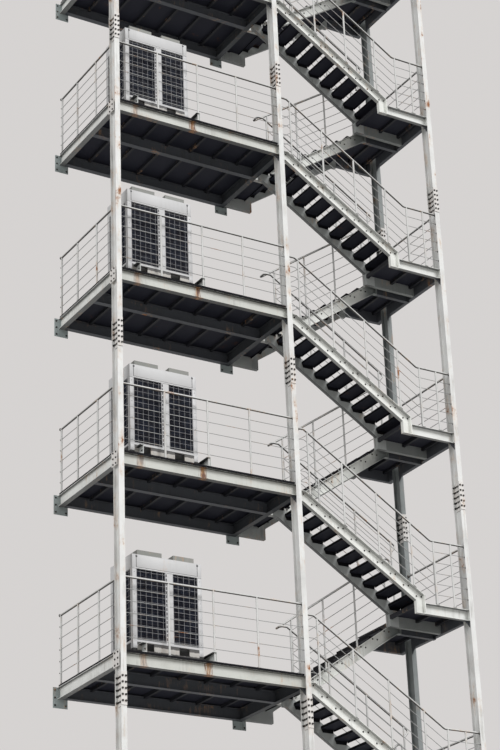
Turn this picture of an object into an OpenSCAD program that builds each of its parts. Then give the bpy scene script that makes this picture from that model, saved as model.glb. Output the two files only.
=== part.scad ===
// Outside fire escape stair tower of painted steel, with a platform and a half landing on each storey.
// X runs along the front from the left column, Y runs back to the wall, Z runs up from the ground.
// The origin is the middle of the underside of the front left column's base plate.

/* [Storeys] */
// Number of storeys that the stair climbs
storeys = 6; // [1:1:6]
// Height from one platform to the next
storey_h = 3400; // [3250:10:3600]
// Height of the columns above the top platform's rail
column_over = 60; // [40:5:600]

/* [Bays] */
// From the centre of the left column to the centre of the middle one
bay_left = 3420; // [3000:10:4200]
// From the centre of the middle column to the centre of the right one
bay_right = 3500; // [3350:10:4200]
// From the front columns' centre line to the middle platform beam's
middle_beam_y = 940; // [700:10:1300]
// From the front columns' centre line to the rear right column's
rear_column_y = 1810; // [1500:10:1850]
// From the wall to the centre line of the rear platform beam
rear_beam_inset = 65; // [65:5:350]
// Space between the wall-side stringer and the wall
wall_gap = 45; // [30:5:250]

/* [Columns] */
// Width of a column across its flanges
column_w = 100; // [90:2:150]
// Depth of a column from flange face to flange face
column_d = 200; // [190:5:300]
// Thickness of a column's web
column_web = 6; // [5:1:12]
// Thickness of a column's flanges
column_flange = 8; // [6:1:16]
// Side of a base plate across the column
base_w = 300; // [240:10:400]
// Side of a base plate along the column's depth
base_d = 400; // [340:10:500]
// Thickness of a base plate
base_t = 22; // [12:1:40]
// Distance from an anchor hole to the base plate's edge
anchor_edge = 50; // [40:5:60]
// Diameter of an anchor hole
anchor_hole_d = 26; // [18:1:34]
// Thickness of a column's cap plate
cap_t = 8; // [5:1:15]
// Height of a column splice
splice_h = 540; // [300:10:700]
// Thickness of a splice plate
splice_t = 9; // [6:1:16]
// Space from a splice's web plates to the flanges
splice_clear = 20; // [15:1:40]
// Drop from a platform to the first splice of the left and middle columns
splice_left_drop = 640; // [620:5:760]
// How much lower under its platform each next splice of these columns lies
splice_left_step = 620; // [400:10:700]
// Drop from a half landing to the first splice of the two right columns
splice_right_drop = 595; // [590:5:660]
// How much lower under its landing each next splice of these columns lies
splice_right_step = 650; // [400:10:680]

/* [Beams] */
// Depth of the platform beams, the landing beams and the stringers
beam_d = 200; // [160:5:230]
// Width of a platform beam's flanges
beam_w = 100; // [80:2:120]
// Thickness of the webs of beams and stringers
beam_web = 6; // [4:1:10]
// Thickness of the flanges of beams and stringers
beam_flange = 8; // [5:1:14]
// Width of a stringer's and a landing beam's flanges
channel_w = 75; // [60:1:90]
// Distance between the ribs under a deck
rib_pitch = 500; // [300:10:800]
// Height of a rib below the deck plate
rib_h = 65; // [45:1:90]
// Width of a rib's foot
rib_w = 50; // [30:1:80]
// Thickness of a rib
rib_t = 6; // [4:1:10]
// Space from the last rib under a platform to the cross beam
rib_end_gap = 20; // [10:5:60]
// From the edge of a landing's deck to its first rib
rib_edge = 2; // [1:1:20]
// From the landing's cross channel to the rib in front of it
rib_cross_gap = 120; // [90:5:200]

/* [Decks] */
// Thickness of the deck plate
deck_t = 5; // [3:1:8]
// Depth of the folded edge round a platform's deck
deck_lip = 30; // [20:1:50]
// How far a platform's deck stands out past the front beam
deck_proud = 20; // [5:1:40]
// Space between a deck and the wall
deck_wall_gap = 50; // [20:5:100]
// Space round a column where it passes a deck
column_clear = 5; // [2:1:15]

/* [Stairs] */
// Height of one riser of the front flight
riser = 170; // [160:1:176]
// Height of the first riser down from a platform
top_riser = 105; // [90:1:140]
// Going of a tread
going = 260; // [240:1:275]
// How far a tread's nose laps over the tread below
nose_lap = 5; // [0:1:30]
// Number of treads in a front flight
front_treads = 10; // [8:1:10]
// Number of treads in a back flight
back_treads = 8; // [8:1:9]
// Length of the top tread of a front flight
first_going = 208; // [190:1:260]
// Length of the level foot of a back flight
foot_len = 415; // [360:1:460]
// Clear width of the front flight
front_flight_w = 755; // [700:5:900]
// Clear width of the back flight
back_flight_w = 1030; // [950:5:1200]
// Open gap between the two flights
well_gap = 90; // [60:5:200]
// Height of the line of noses above a stringer's top edge
nosing_rise = 67; // [40:1:90]
// Drop from a platform to the level top of its front stringers
stringer_drop = 115; // [90:1:130]
// Drop from a half landing to the level top of its back stringers
back_drop = 58; // [50:1:90]
// Length of the upright end of a front stringer
knee_w = 190; // [120:5:230]
// Length of a back stringer's level top past the landing's edge
stringer_past = 150; // [140:5:200]
// How far the level foot of a back flight laps under its first tread
foot_lap = 10; // [5:1:20]
// How far the landing reaches under the last front tread
landing_lap = 250; // [150:5:260]
// Thickness of a tread's plate
tread_t = 5; // [3:1:8]
// Depth of the lip under a tread's nose
tread_lip = 35; // [20:1:60]
// Height of the upstand at a tread's back
tread_upstand = 40; // [15:1:60]
// Depth of the plates that bolt a tread to its stringers
tread_end_h = 70; // [50:1:100]
// How far the foot of these plates draws in from the tread's edges
tread_end_in = 30; // [15:1:60]
// Thickness of the plates under the feet of the stringers on the ground
shoe_t = 12; // [8:1:20]
// How far these plates stand out past the stringers
shoe_margin = 40; // [20:5:60]

/* [Guards] */
// Height of the rail over a platform
rail_h = 1220; // [1000:10:1250]
// Height of the rail over a half landing
landing_rail_h = 1190; // [1000:10:1250]
// Height of the front flight's rails over the line of noses
front_rail_h = 1120; // [900:10:1180]
// Height of the rails beside the well over the lines of noses
well_rail_h = 1180; // [900:10:1200]
// Height of the level end of the front flight's outer rail
rail_top_h = 1052; // [980:1:1080]
// Diameter of a handrail
rail_dia = 38; // [30:1:50]
// Diameter of a guard's post
post_dia = 34; // [25:1:45]
// Side of a guard's square rods
rod_side = 12; // [8:1:20]
// Distance between two rods
rod_pitch = 200; // [150:5:205]
// Number of rods
rods = 5; // [3:1:5]
// Distance between the posts of the platform's front guard
front_post_pitch = 830; // [600:10:1100]
// Distance between the posts along a flight
flight_post_pitch = 690; // [500:10:900]
// Length of the turned-down end of a rail
rail_return = 190; // [120:5:220]
// Drop from the line of the well's rails to the turn that joins them
turn_drop = 75; // [40:5:120]
// From the platform's end to that turn
turn_out = 30; // [25:1:80]
// From the front columns' centre line out to the front guards
guard_out = 35; // [20:1:45]
// How far the middle post of the platform's front guard stands left of the bay's middle
front_post_shift = 20; // [0:5:60]
// Distance from the end of a run to its nearest post
post_edge = 20; // [10:1:40]
// Distance from a flight's first or last nose to a bend of its rail
bend_edge = 60; // [40:5:80]
// From the rear edge of the top platform's deck to its end guard
end_guard_in = 40; // [20:5:100]
// Length of a post's foot plate along the guard
foot_plate_w = 70; // [50:2:90]
// Width of a post's foot plate across the guard
foot_plate_d = 50; // [40:2:60]
// Thickness of a post's foot plate
foot_plate_t = 8; // [5:1:12]

/* [Plates] */
// Width of the plate that holds a platform's beam on the wall
wall_plate_w = 265; // [240:5:320]
// Height of a wall plate
wall_plate_h = 350; // [320:5:380]
// Thickness of a wall plate
wall_plate_t = 12; // [8:1:20]
// Drop from a platform to the upper edge of its wall plates
wall_plate_drop = 30; // [20:1:60]
// From a wall anchor's hole to the wall plate's side
wall_hole_side = 35; // [25:1:45]
// From a wall anchor's hole to the wall plate's upper or lower edge
wall_hole_in = 45; // [30:5:60]
// Diameter of a wall anchor's hole
wall_hole_d = 18; // [12:1:24]
// Length of a side gusset along the beam
side_gusset_l = 200; // [170:5:260]
// Height of a side gusset
side_gusset_h = 260; // [220:5:290]
// How far a side gusset is set in from the column's face and hangs below the beam
side_gusset_in = 40; // [20:5:60]
// Thickness of a gusset
gusset_t = 10; // [6:1:16]
// Length of the legs of a small gusset under a beam's end
seat_gusset_l = 110; // [70:5:140]

/* [Condensers] */
// Width of a condensing unit
unit_w = 1282; // [1150:1:1500]
// Depth of a condensing unit
unit_d = 760; // [600:10:780]
// Height of a condensing unit's cabinet
unit_h = 1475; // [1200:5:1700]
// From the left column's centre to the unit's left side
unit_x = 275; // [180:5:600]
// From the front columns' centre line to the unit's front
unit_y = 100; // [60:5:110]
// Width of the posts at the cabinet's corners, which are also its legs
unit_post = 75; // [40:1:100]
// Width of the stile between the two coils of the unit's front
unit_stile = 134; // [60:1:160]
// Width of the left one of these two coils
coil_left_w = 534; // [400:1:560]
// Depth at which the coils lie behind the posts
coil_sink = 60; // [30:5:90]
// Height of the cabinet's rail under the coils
unit_base = 38; // [20:1:80]
// Height of the plain band at the cabinet's top
unit_band = 240; // [180:5:400]
// Width of the bars of a fan guard's frame
unit_frame_w = 12; // [8:1:16]
// Height of the fan hoods on the cabinet's top
hood_h = 95; // [40:5:120]
// How far a fan hood is set in from its coil's sides and from the cabinet's front
hood_in = 40; // [20:5:60]
// Width of a fan hood's rim round its opening
hood_rim = 25; // [15:1:40]
// Height of the cabinet's legs and of the channels between them
stand_h = 195; // [160:5:220]
// Width of these channels' flanges
stand_w = 50; // [40:5:70]
// Thickness of these channels
stand_t = 4; // [3:1:6]
// From the cabinet's left side to the channels' left slot
slot_left_x = 248; // [100:1:300]
// Width of the left slot
slot_left_w = 134; // [80:1:200]
// From the cabinet's left side to the channels' right slot
slot_right_x = 838; // [700:1:950]
// Width of the right slot
slot_right_w = 187; // [80:1:220]
// Height of both slots
slot_h = 120; // [60:5:130]
// Drop from the channels' top to the slots
slot_drop = 12; // [8:1:20]
// Side of a rubber pad under a leg
pad_side = 90; // [80:2:120]
// Thickness of a rubber pad
pad_h = 15; // [8:1:30]

/* [Hidden] */

// Finishes
paint = "#dfe0d8";
deck_paint = "#6f7274";
galvanised = "#b9bdbc";
unit_white = "#e8e8e0";
rubber = "#2a2a2a";

// How far a cut runs past the face that it opens
cut = 1;

// Levels
top_z = storeys * storey_h;
column_top = top_z + rail_h + column_over;
landing_drop = top_riser + front_treads * riser;
landing_rise = storey_h - landing_drop;
back_riser = landing_rise / (back_treads + 1);
beam_top = -deck_lip;
beam_bottom = beam_top - beam_d;
landing_beam_bottom = -beam_d;

// Lines along the front
column_x = [0, bay_left, bay_left + bay_right];
column_half = column_w / 2;
platform_end = bay_left + column_half;
tread_d = going + nose_lap;
front_nose = platform_end + first_going;
front_last_nose = front_nose + going * (front_treads - 1);
landing_left = front_last_nose - landing_lap;
knee_x = landing_left + knee_w;
back_nose = platform_end + foot_len;
landing_nose = back_nose + going * back_treads;
back_end_x = landing_nose + stringer_past;
cross_x = column_x[2] - column_half;
landing_right = column_x[2] + column_half;

// Lines from the front to the wall
outer_y = channel_w - beam_w / 2;
inner_y = outer_y + front_flight_w;
well_y = inner_y + well_gap + 2 * channel_w;
wall_side_y = well_y + back_flight_w;
wall_y = wall_side_y + channel_w + wall_gap;
rear_beam_y = wall_y - rear_beam_inset;
deck_front = -beam_w / 2 - deck_proud;
deck_rear = wall_y - deck_wall_gap;
guard_y = -guard_out;
inner_guard_y = inner_y + channel_w / 2;
back_guard_y = well_y - channel_w / 2;

// Slopes of the flights and upright depths of their stringers
front_slope = riser / going;
back_slope = back_riser / going;
front_deep = beam_d * sqrt(1 + front_slope * front_slope);
back_deep = beam_d * sqrt(1 + back_slope * back_slope);

// Heights of the lines of noses, over the platform where the flight starts
function front_nosing(x) = -top_riser - front_slope * (x - front_nose);
function back_nosing(x) = back_riser + back_slope * (x - back_nose);
function front_nosing_x(z) = front_nose - (z + top_riser) / front_slope;
function back_nosing_x(z) = back_nose + (z - back_riser) / back_slope;

// Small geometry used by the profiles
function unit(v) = v / norm(v);
function turned(v) = [-v.y, v.x];
function cross_of(u, v) = u.x * v.y - u.y * v.x;
function meet(p, u, q, v) = p + u * cross_of(q - p, v) / cross_of(u, v);

// Outline set in by t all round, with mitred corners, for an outline that runs anticlockwise
function inset(path, t) = [for (i = [0 : len(path) - 1])
    let (n = len(path), a = path[(i + n - 1) % n], b = path[i], c = path[(i + 1) % n])
    meet(b + turned(unit(b - a)) * t, b - a, b + turned(unit(c - b)) * t, c - b)];

function box_path(x0, z0, x1, z1) = [[x0, z0], [x1, z0], [x1, z1], [x0, z1]];

// I section centred on the origin, its web upright
function i_section(depth, width, web, flange) = let (h = depth / 2, w = width / 2, s = web / 2, f = h - flange)
    [[-w, -h], [w, -h], [w, -f], [s, -f], [s, f], [w, f], [w, h], [-w, h], [-w, f], [-s, f], [-s, -f], [-w, -f]];

// Angle section with its corner at the origin, one leg up and one leg out
function l_section(height, width, t) = [[0, 0], [width, 0], [width, t], [t, t], [t, height], [0, height]];

// Runs a profile along X from x0, its own axes being Y and Z
module along_x(x0, length) {
    translate([x0, 0, 0]) rotate([90, 0, 90]) linear_extrude(length) children();
}

// Runs a profile along Y from y0, its own axes being X and Z
module along_y(y0, length) {
    translate([0, y0 + length, 0]) rotate([90, 0, 0]) linear_extrude(length) children();
}

// Places its children once on each platform's level, which they can read as $level
module each_platform() {
    for (i = [1 : storeys]) {
        $level = i * storey_h;
        translate([0, 0, $level]) children();
    }
}

// Places its children once on each half landing's level, which they can read as $level
module each_landing() {
    for (i = [1 : storeys]) {
        $level = i * storey_h - landing_drop;
        translate([0, 0, $level]) children();
    }
}

// Places its children with their Z axis along the line from p to q of an upright plane at the depth y
module along_line(p, q, y) {
    translate([p.x, y, p.y]) rotate([0, atan2(q.x - p.x, q.y - p.y), 0]) children();
}

// Straight tube between two points of an upright plane at the depth y
module bar(p, q, y, dia, sides) {
    along_line(p, q, y) cylinder(h = norm(q - p), d = dia, $fn = sides);
}

// The line of points moved sideways by t, with mitred corners
function beside(line, t) = [for (i = [0 : len(line) - 1])
    let (last = len(line) - 1, a = line[max(i - 1, 0)], b = line[i], c = line[min(i + 1, last)])
    i == 0 ? b + turned(unit(c - b)) * t : i == last ? b + turned(unit(b - a)) * t
    : meet(b + turned(unit(b - a)) * t, b - a, b + turned(unit(c - b)) * t, c - b)];

function backwards(list) = [for (i = [len(list) - 1 : -1 : 0]) list[i]];

// Square rod along a line of points of an upright plane at the depth y
module rod(line, y) {
    along_y(y - rod_side / 2, rod_side)
        polygon(concat(beside(line, -rod_side / 2), backwards(beside(line, rod_side / 2))));
}

// Heights of a column's splices, one to every second storey, from the level that the first one hangs under
function splice_levels(first, drop, step) = [for (n = [0 : ceil(storeys / 2)])
    let (z = first + 2 * n * storey_h - drop - n * step) if (z + splice_h < column_top) z];
left_splices = splice_levels(storey_h, splice_left_drop, splice_left_step);
right_splices = splice_levels(storey_h - landing_drop, splice_right_drop, splice_right_step);

// What a splice takes off the end of a bar that meets its column at the height z
function splice_take(z, levels) =
    max([for (level = levels) abs(z - level) < splice_h / 2 + rail_dia ? splice_t : 0]);

// How far a tube runs past the corner b, so that its mitre with the next one closes
function past(a, b, c) = rail_dia / 2 * tan(acos(unit(b - a) * unit(c - b)) / 2);

// Handrail along a line of points in an upright plane
module rail(points, y) {
    last = len(points) - 1;
    for (i = [0 : last - 1]) {
        p = points[i];
        q = points[i + 1];
        back = i == 0 ? 0 : past(points[i - 1], p, q);
        on = i == last - 1 ? 0 : past(p, q, points[i + 2]);
        bar(p - unit(q - p) * back, q + unit(q - p) * on, y, rail_dia, 12);
    }
}

// Post from its foot plate on a level or sloping top, up to the rail's centre
module post(x, y, foot_z, top, slope) {
    half = foot_plate_w / 2;
    bar([x, foot_z + foot_plate_t / 2], [x, top], y, post_dia, 8);
    along_y(y - foot_plate_d / 2, foot_plate_d)
        polygon([[x - half, foot_z - slope * half], [x + half, foot_z + slope * half],
            [x + half, foot_z + slope * half + foot_plate_t], [x - half, foot_z - slope * half + foot_plate_t]]);
}

// Channel cut to an outline in an upright plane, with its flanges and end plates all round.
// Its flat back lies at y and its flanges reach towards the sign of side.
module channel_piece(path, y, side) {
    low = side > 0 ? y : y - channel_w;
    pocket = side > 0 ? y + beam_web : y - channel_w - cut;
    difference() {
        along_y(low, channel_w) polygon(path);
        along_y(pocket, channel_w - beam_web + cut) polygon(inset(path, beam_flange));
    }
}

// Columns and what joins them

module column(x, y) {
    translate([x, y, base_t]) linear_extrude(column_top - base_t)
        polygon(i_section(column_d, column_w, column_web, column_flange));
}

module column_front_left() { color(paint) column(column_x[0], 0); }
module column_front_middle() { color(paint) column(column_x[1], 0); }
module column_front_right() { color(paint) column(column_x[2], 0); }
module column_rear_right() { color(paint) column(column_x[2], rear_column_y); }

column_places = [[column_x[0], 0], [column_x[1], 0], [column_x[2], 0], [column_x[2], rear_column_y]];

module base_plates() {
    color(paint) for (p = column_places) translate(p) difference() {
        translate([-base_w / 2, -base_d / 2, 0]) cube([base_w, base_d, base_t]);
        for (sx = [-1, 1], sy = [-1, 1])
            translate([sx * (base_w / 2 - anchor_edge), sy * (base_d / 2 - anchor_edge), -cut])
                cylinder(h = base_t + 2 * cut, d = anchor_hole_d, $fn = 32);
    }
}

module cap_plates() {
    color(paint) for (p = column_places) translate([p.x, p.y, column_top])
        translate([-column_w / 2 - cap_t, -column_d / 2 - cap_t, 0])
            cube([column_w + 2 * cap_t, column_d + 2 * cap_t, cap_t]);
}

// Plates over both flanges and on both sides of the web, centred on a joint in the column
module splice() {
    web_w = column_d - 2 * column_flange - 2 * splice_clear;
    for (s = [-1, 1]) {
        translate([-column_w / 2, s * (column_d + splice_t) / 2 - splice_t / 2, -splice_h / 2])
            cube([column_w, splice_t, splice_h]);
        translate([s * (column_web + splice_t) / 2 - splice_t / 2, -web_w / 2, -splice_h / 2])
            cube([splice_t, web_w, splice_h]);
    }
}

module splice_plates() {
    color(paint) {
        for (i = [0, 1], z = left_splices) translate([column_places[i].x, column_places[i].y, z]) splice();
        for (i = [2, 3], z = right_splices) translate([column_places[i].x, column_places[i].y, z]) splice();
    }
}

// Platforms

module i_beam_profile(depth) {
    polygon(i_section(depth, beam_w, beam_web, beam_flange));
}

// Beam along X between two faces, its web carried on to the webs that it meets past the flanges
module coped_beam(x0, x1, y, cope) {
    mid = (beam_top + beam_bottom) / 2;
    translate([0, y, mid]) {
        along_x(x0, x1 - x0) i_beam_profile(beam_d);
        along_x(x0 - cope, x1 - x0 + 2 * cope)
            square([beam_web, beam_d - 4 * beam_flange], center = true);
    }
}

module platform_front_beams() {
    start = column_x[0] + column_web / 2;
    color(paint) each_platform() translate([0, 0, (beam_top + beam_bottom) / 2])
        along_x(start, bay_left - column_web) i_beam_profile(beam_d);
}

module platform_middle_beams() {
    cope = (beam_w - beam_web) / 2;
    color(paint) each_platform() coped_beam(beam_w / 2, bay_left - beam_w / 2, middle_beam_y, cope);
}

module platform_rear_beams() {
    cope = (beam_w - beam_web) / 2;
    color(paint) each_platform() coped_beam(beam_w / 2, bay_left - beam_w / 2, rear_beam_y, cope);
}

module platform_side_beams() {
    start = column_d / 2;
    color(paint) each_platform() translate([0, 0, (beam_top + beam_bottom) / 2])
        along_y(start, wall_y - wall_plate_t - start) i_beam_profile(beam_d);
}

module platform_cross_beams() {
    start = column_d / 2;
    color(paint) each_platform() translate([bay_left, 0, (beam_top + beam_bottom) / 2])
        along_y(start, wall_y - wall_plate_t - start) i_beam_profile(beam_d);
}

// Angle under the deck, notched over the beams' flanges that it rests on
module platform_rib() {
    front = deck_front + deck_t;
    length = deck_rear - deck_t - front;
    difference() {
        translate([0, 0, -deck_t - rib_h]) along_y(front, length) polygon(l_section(rib_h, rib_w, rib_t));
        for (y = [0, middle_beam_y, rear_beam_y])
            translate([-cut, y - beam_w / 2, -deck_t - rib_h - cut])
                cube([rib_w + 2 * cut, beam_w, rib_h + cut - deck_lip + deck_t]);
        translate([-cut, front - cut, -deck_t - rib_h - cut])
            cube([rib_w + 2 * cut, beam_w / 2 + deck_proud, rib_h + cut - deck_lip + deck_t]);
    }
}

module platform_ribs() {
    color(paint) each_platform()
        for (x = [rib_pitch : rib_pitch : bay_left - beam_w / 2 - rib_w - rib_end_gap]) translate([x, 0, 0]) platform_rib();
}

platform_outline = let (h = column_half + column_clear, n = column_d / 2 + column_clear)
    [[h, deck_front], [bay_left - h, deck_front], [bay_left - h, n], [platform_end, n], [platform_end, deck_rear],
    [-column_half, deck_rear], [-column_half, n], [h, n]];

// Plate with its edge folded down all round
module deck_pan(outline) {
    translate([0, 0, -deck_lip]) difference() {
        linear_extrude(deck_lip) polygon(outline);
        translate([0, 0, -cut]) linear_extrude(deck_lip - deck_t + cut) polygon(inset(outline, deck_t));
    }
}

module platform_decks() {
    color(deck_paint) each_platform() deck_pan(platform_outline);
}

module side_gussets() {
    color(paint) each_platform()
        translate([-column_half - gusset_t, -column_d / 2 + side_gusset_in, beam_bottom - side_gusset_in])
            cube([gusset_t, side_gusset_l, side_gusset_h]);
}

// Three-cornered plate with its upright edge at the origin, under a beam that comes from the left
module seat_gusset() {
    along_y(-gusset_t / 2, gusset_t) polygon([[-seat_gusset_l, 0], [0, -seat_gusset_l], [0, 0]]);
}

module seat_gussets() {
    color(paint) {
        each_platform() translate([column_x[1] - column_web / 2, 0, beam_bottom]) seat_gusset();
        each_landing() {
            translate([column_x[2] - column_web / 2, outer_y - channel_w / 2, landing_beam_bottom]) seat_gusset();
            translate([cross_x + gusset_t, rear_column_y - column_d / 2, landing_beam_bottom - deck_t])
                rotate([0, 0, 90]) seat_gusset();
        }
    }
}

// Plate against the wall behind the end of a beam, with four anchor holes
module wall_plate() {
    side = wall_plate_w / 2 - wall_hole_side;
    difference() {
        translate([-wall_plate_w / 2, -wall_plate_t, -wall_plate_h]) cube([wall_plate_w, wall_plate_t, wall_plate_h]);
        for (x = [-side, side], z = [wall_hole_in - wall_plate_h, -wall_hole_in])
            translate([x, cut, z]) rotate([90, 0, 0]) cylinder(h = wall_plate_t + 2 * cut, d = wall_hole_d, $fn = 32);
    }
}

module wall_plates() {
    color(paint) each_platform()
        for (x = [column_x[0], column_x[1]]) translate([x, wall_y, -wall_plate_drop]) wall_plate();
}

// Flights

// Outline of a front stringer from its level top at x0, down to its upright end at the landing
function front_outline(x0) = let (
    top = -stringer_drop,
    bottom = top - beam_d,
    foot = -landing_drop + landing_beam_bottom)
    [[x0, bottom], [front_nosing_x(bottom + front_deep + nosing_rise), bottom],
    [landing_left, front_nosing(landing_left) - nosing_rise - front_deep], [landing_left, foot], [knee_x, foot],
    [knee_x, front_nosing(knee_x) - nosing_rise], [front_nosing_x(top + nosing_rise), top], [x0, top]];

// Outline of a back stringer over a platform, from its level foot up to its level top
back_top = landing_rise - back_drop;
back_head = [[back_nosing_x(back_top - beam_d + back_deep + nosing_rise), back_top - beam_d],
    [back_end_x, back_top - beam_d], [back_end_x, back_top], [back_nosing_x(back_top + nosing_rise), back_top]];
foot_cut = -20;
foot_x = back_nosing_x(foot_cut + back_deep + nosing_rise);
back_outline = concat([[platform_end, beam_bottom], [foot_x, beam_bottom], [foot_x, foot_cut]], back_head,
    [[back_nosing_x(beam_top + nosing_rise), beam_top], [platform_end, beam_top]]);

// The same on the ground, cut level on its base plate
shoe_left = back_nosing_x(shoe_t + nosing_rise);
shoe_right = back_nosing_x(shoe_t + back_deep + nosing_rise);
ground_outline = concat([[shoe_left, shoe_t], [shoe_right, shoe_t]], back_head);

module front_outer_stringers() {
    color(paint) each_platform() channel_piece(front_outline(bay_left + column_web / 2), outer_y, -1);
}

module front_inner_stringers() {
    color(paint) each_platform() channel_piece(front_outline(platform_end), inner_y, 1);
}

module back_stringers(y, side) {
    channel_piece(ground_outline, y, side);
    if (storeys > 1) for (i = [1 : storeys - 1]) translate([0, 0, i * storey_h]) channel_piece(back_outline, y, side);
}

module back_well_stringers() { color(paint) back_stringers(well_y, -1); }
module back_wall_stringers() { color(paint) back_stringers(wall_side_y, 1); }

module stringer_base_plates() {
    color(paint) for (y = [well_y - channel_w, wall_side_y])
        translate([shoe_left - shoe_margin, y - shoe_margin / 2, 0])
            cube([shoe_right - shoe_left + 2 * shoe_margin, channel_w + shoe_margin, shoe_t]);
}

// Folded tread with its nose at the origin, facing the sign of side, bolted on by its end plates
module tread(depth, width, upstand, side) {
    t = tread_t;
    profile = [[0, -tread_lip], [t, -tread_lip], [t, -t], [depth, -t], [depth, upstand], [depth - t, upstand],
        [depth - t, 0], [0, 0]];
    plate = [[tread_end_in, -tread_end_h], [depth - tread_end_in, -tread_end_h], [depth - t, -t], [t, -t]];
    mirror([side > 0 ? 0 : 1, 0, 0]) {
        along_y(0, width) polygon(profile);
        for (y = [0, width - t]) along_y(y, t) polygon(plate);
    }
}

module front_treads() {
    color(deck_paint) each_platform() translate([0, outer_y, 0]) {
        translate([front_nose, 0, -top_riser]) tread(first_going, front_flight_w, 0, -1);
        for (n = [1 : front_treads - 1])
            translate([front_nose + going * n, 0, -top_riser - riser * n])
                tread(tread_d, front_flight_w, tread_upstand, -1);
    }
}

module back_treads() {
    color(deck_paint) for (i = [0 : storeys - 1], n = [0 : back_treads - 1])
        translate([back_nose + going * n, well_y, i * storey_h + back_riser * (n + 1)])
            tread(tread_d, back_flight_w, tread_upstand, 1);
}

module foot_decks() {
    color(deck_paint) if (storeys > 1) for (i = [1 : storeys - 1])
        translate([platform_end, well_y - channel_w, i * storey_h])
            deck_pan(box_path(0, 0, foot_len + foot_lap, wall_side_y - well_y + 2 * channel_w));
}

// Half landings

module landing_front_beams() {
    color(paint) each_landing()
        channel_piece(box_path(knee_x, landing_beam_bottom, column_x[2] - column_web / 2, 0), outer_y, -1);
}

module landing_inner_beams() {
    color(paint) each_landing()
        channel_piece(box_path(knee_x, landing_beam_bottom, cross_x, -deck_t), inner_y, 1);
}

module landing_well_beams() {
    color(paint) each_landing()
        channel_piece(box_path(back_end_x, -back_drop - beam_d, cross_x, -back_drop), well_y, -1);
}

module landing_wall_beams() {
    color(paint) each_landing()
        channel_piece(box_path(back_end_x, -deck_t - beam_d, landing_right, -deck_t), wall_side_y, 1);
}

// Channel along Y with its flat back at the left, on which the landing's other beams end
module cross_channel(y0, y1) {
    difference() {
        translate([cross_x, y0, landing_beam_bottom - deck_t]) cube([channel_w, y1 - y0, beam_d]);
        translate([cross_x + beam_web, y0 - cut, landing_beam_bottom - deck_t + beam_flange])
            cube([channel_w, y1 - y0 + 2 * cut, beam_d - 2 * beam_flange]);
    }
}

module landing_cross_beams() {
    color(paint) each_landing() {
        cross_channel(column_d / 2, rear_column_y - column_d / 2);
        cross_channel(rear_column_y + column_d / 2, wall_side_y);
    }
}

module landing_ribs() {
    front_len = inner_y - outer_y;
    back_from = well_y - channel_w;
    back_len = wall_side_y - back_from;
    color(paint) each_landing() {
        for (x = [landing_left + rib_edge, (landing_left + cross_x) / 2, cross_x - rib_cross_gap])
            translate([x, 0, -deck_t - rib_h]) along_y(outer_y, front_len) polygon(l_section(rib_h, rib_w, rib_t));
        for (x = [landing_nose + tread_t + rib_edge, (landing_nose + cross_x) / 2, cross_x - rib_cross_gap])
            translate([x, 0, -back_drop])
                along_y(back_from, back_len) polygon(l_section(back_drop - deck_t, rib_w, rib_t));
    }
}

// Outlines of the two plates of a half landing's deck, in front of the joint and behind it
landing_split = inner_y + channel_w;
landing_seam = 4;
landing_notch = cross_x - column_clear;
landing_front_plate = let (notch_y = column_d / 2 + column_clear)
    [[landing_left, outer_y], [landing_notch, outer_y], [landing_notch, notch_y], [landing_right, notch_y],
    [landing_right, landing_split], [knee_x, landing_split], [knee_x, inner_y], [landing_left, inner_y]];
landing_back_plate = let (rear = wall_side_y + channel_w, from = landing_split + landing_seam,
    notch_low = rear_column_y - column_d / 2 - column_clear, notch_high = rear_column_y + column_d / 2 + column_clear)
    [[landing_nose, from], [landing_right, from], [landing_right, notch_low], [landing_notch, notch_low],
    [landing_notch, notch_high], [landing_right, notch_high], [landing_right, rear], [landing_nose, rear]];

module landing_decks() {
    color(deck_paint) each_landing() translate([0, 0, -deck_t]) linear_extrude(deck_t) {
        polygon(landing_front_plate);
        polygon(landing_back_plate);
    }
}

// Guards

// Heights of a guard's rods below its rail
rod_drops = [for (k = [1 : rods]) rod_pitch * k];

// Places a line of points lower by a drop
function lower(line, drop) = [for (p = line) p - [0, drop]];

// Rods that follow a line of points under the rail
module rods_under(line, y) {
    for (drop = rod_drops) rod(lower(line, drop), y);
}

// Rail and rods from the face x0 to the face x1, each bar cut short where a splice covers its column.
// They follow the points between, and z0 and z1 are the rail's height on its first and last stretch.
module guard_bars(x0, z0, x1, z1, between, y, take0, take1) {
    for (k = [0 : rods]) {
        line = lower(concat([[x0 + take0[k], z0]], between, [[x1 - take1[k], z1]]), k * rod_pitch);
        if (k == 0) rail(line, y);
        else rod(line, y);
    }
}

// What splices take off a guard's rail and rods, from the level of its rail
function takes_left(rail_z) = [for (k = [0 : rods]) splice_take(rail_z - rod_pitch * k, left_splices)];
function takes_right(rail_z) = [for (k = [0 : rods]) splice_take(rail_z - rod_pitch * k, right_splices)];
no_takes = [for (k = [0 : rods]) 0];

module platform_front_guards() {
    first = column_x[0] + column_web / 2;
    last = column_x[1] - column_web / 2;
    color(galvanised) each_platform() {
        takes = takes_left($level + rail_h);
        guard_bars(first, rail_h, last, rail_h, [], guard_y, takes, takes);
        for (k = [-1 : 1]) post(bay_left / 2 + k * front_post_pitch - front_post_shift, guard_y, 0, rail_h, 0);
    }
}

module platform_left_guards() {
    start = column_d / 2;
    span = wall_y - start;
    color(galvanised) each_platform() rotate([0, 0, 90]) {
        guard_bars(start, rail_h, wall_y, rail_h, [], 0, takes_left($level + rail_h), no_takes);
        for (part = [0.31, 0.675]) post(start + span * part, 0, 0, rail_h, 0);
    }
}

// Places along the front flight's guard, over the platform where the flight starts
landing_rail_top = landing_rail_h - landing_drop;
front_kink_high = front_nosing_x(rail_top_h - front_rail_h);
front_kink_low = front_nosing_x(landing_rail_top - front_rail_h);

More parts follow.
